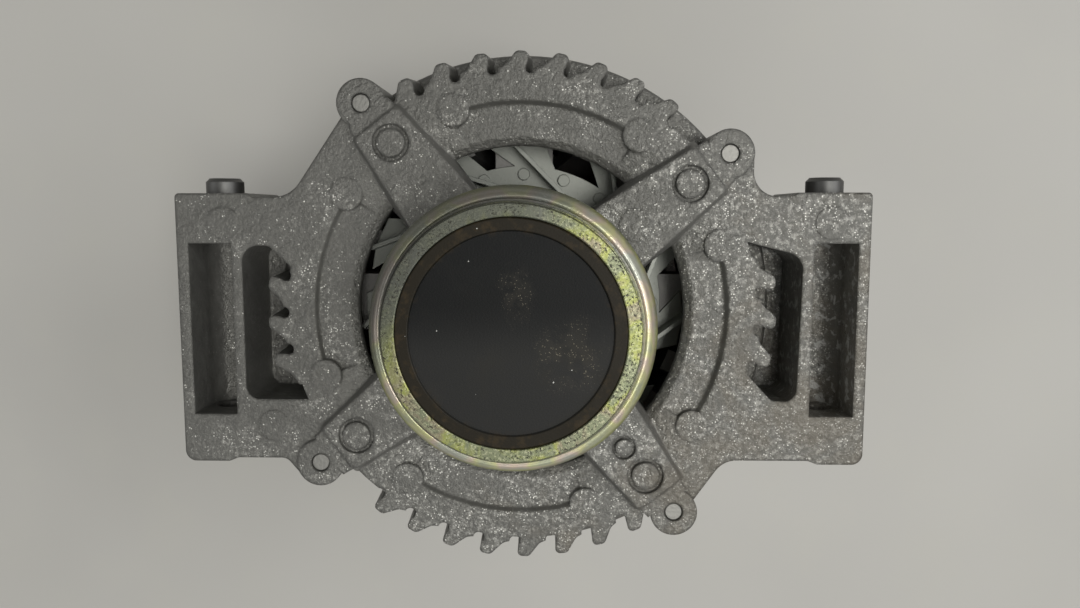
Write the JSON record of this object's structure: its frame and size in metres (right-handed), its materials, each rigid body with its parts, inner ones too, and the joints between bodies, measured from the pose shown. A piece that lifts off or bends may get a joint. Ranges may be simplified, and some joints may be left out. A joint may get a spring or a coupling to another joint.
{
  "type": "alternator",
  "caption": "Belt-driven alternator with two side mounting ears, finned cast frames, wound stator, claw-pole rotor and overrunning ribbed pulley.",
  "frame": {"origin": "centre of the flat rear cover face that the alternator stands on, on the shaft axis", "axes": "+Z along the shaft towards the pulley, +X to the right ear and +Y along the ears' cross bores when the pulley faces the viewer"},
  "size_m": [0.1854, 0.153, 0.163],
  "materials": {
    "cast_aluminium": "sand-grained die casting, unpainted",
    "zinc_steel": "clear zinc plate",
    "yellow_zinc": "yellow passivated zinc plate",
    "dark_steel": "oiled dark steel",
    "ground_steel": "ground bearing steel",
    "electrical_steel": "varnished laminations",
    "forged_iron": "forged low-carbon iron",
    "sheet_steel": "pressed sheet steel",
    "copper_winding": "enamelled copper",
    "slip_ring_brass": "turned copper alloy",
    "black_plastic": "moulded plastic",
    "diode_body": "nickel plate",
    "carbon": "graphite",
    "spring_steel": "drawn wire"
  },
  "bodies": {
    "housing": {"drive_end_frame": "cast_aluminium", "through_bolts": "zinc_steel", "rear_frame": "cast_aluminium", "stator_core": "electrical_steel", "front_end_winding": "copper_winding", "rear_end_winding": "copper_winding", "phase_leads": "copper_winding", "front_bearing_outer_ring": "ground_steel", "rear_bearing_outer_ring": "ground_steel", "bearing_retainer_plate": "zinc_steel", "retainer_screws": "zinc_steel", "brush_holder": "black_plastic", "regulator": "black_plastic", "connector_socket": "black_plastic", "connector_pins": "slip_ring_brass", "negative_heat_sink": "cast_aluminium", "positive_heat_sink": "cast_aluminium", "negative_diodes": "diode_body", "positive_diodes": "diode_body", "terminal_moulding": "black_plastic", "rectifier_screws": "zinc_steel", "output_stud": "zinc_steel", "output_insulator": "black_plastic", "output_nut": "zinc_steel", "rear_cover": "black_plastic", "cover_studs": "zinc_steel", "cover_nuts": "zinc_steel", "rear_brush_spring": "spring_steel", "front_brush_spring": "spring_steel"},
    "left_sleeve": {"left_slide_sleeve": "dark_steel"},
    "right_sleeve": {"right_slide_sleeve": "dark_steel"},
    "rotor": {"rotor_shaft": "ground_steel", "front_claw_pole": "forged_iron", "rear_claw_pole": "forged_iron", "field_bobbin": "black_plastic", "field_coil": "copper_winding", "front_fan": "sheet_steel", "rear_fan": "sheet_steel", "slip_rings": "slip_ring_brass", "slip_ring_insulator": "black_plastic", "front_bearing_inner_ring": "ground_steel", "rear_bearing_inner_ring": "ground_steel", "shaft_collar": "yellow_zinc", "pulley_hub": "ground_steel", "clutch_rollers": "ground_steel"},
    "front_balls": {"front_bearing_balls": "ground_steel"},
    "rear_balls": {"rear_bearing_balls": "ground_steel"},
    "pulley": {"pulley_ring": "yellow_zinc", "pulley_cap": "black_plastic", "clutch_sleeve": "ground_steel", "pulley_rear_liner": "black_plastic", "pulley_front_liner": "black_plastic"},
    "rear_brush_slide": {"rear_brush": "carbon"},
    "front_brush_slide": {"front_brush": "carbon"}
  },
  "joints": [
    {"name": "rotor_spin", "type": "hinge", "parent": "housing", "child": "rotor", "pos_m": [0, 0, 0.072], "axis": [0, 0, 1], "continuous": true},
    {"name": "pulley_overrun", "type": "hinge", "parent": "rotor", "child": "pulley", "pos_m": [0, 0, 0.1423], "axis": [0, 0, 1], "continuous": true},
    {"name": "front_ball_orbit", "type": "hinge", "parent": "housing", "child": "front_balls", "pos_m": [0, 0, 0.109], "axis": [0, 0, 1], "continuous": true},
    {"name": "rear_ball_orbit", "type": "hinge", "parent": "housing", "child": "rear_balls", "pos_m": [0, 0, 0.037], "axis": [0, 0, 1], "continuous": true},
    {"name": "left_sleeve_slide", "type": "slide", "parent": "housing", "child": "left_sleeve", "axis": [0, 1, 0], "range_m": [-0.004, 0.002]},
    {"name": "right_sleeve_slide", "type": "slide", "parent": "housing", "child": "right_sleeve", "axis": [0, 1, 0], "range_m": [-0.004, 0.002]},
    {"name": "rear_brush_travel", "type": "slide", "parent": "housing", "child": "rear_brush_slide", "axis": [1, 0, 0], "range_m": [0, 0.004], "stiffness_N_per_m": 250, "springref_m": -0.008, "deforming": ["rear_brush_spring"]},
    {"name": "front_brush_travel", "type": "slide", "parent": "housing", "child": "front_brush_slide", "axis": [1, 0, 0], "range_m": [0, 0.004], "stiffness_N_per_m": 250, "springref_m": -0.008, "deforming": ["front_brush_spring"]}
  ],
  "couplings": [
    {"joint": "front_ball_orbit", "follows": "rotor_spin", "ratio": 0.375},
    {"joint": "rear_ball_orbit", "follows": "rotor_spin", "ratio": 0.38}
  ]
}
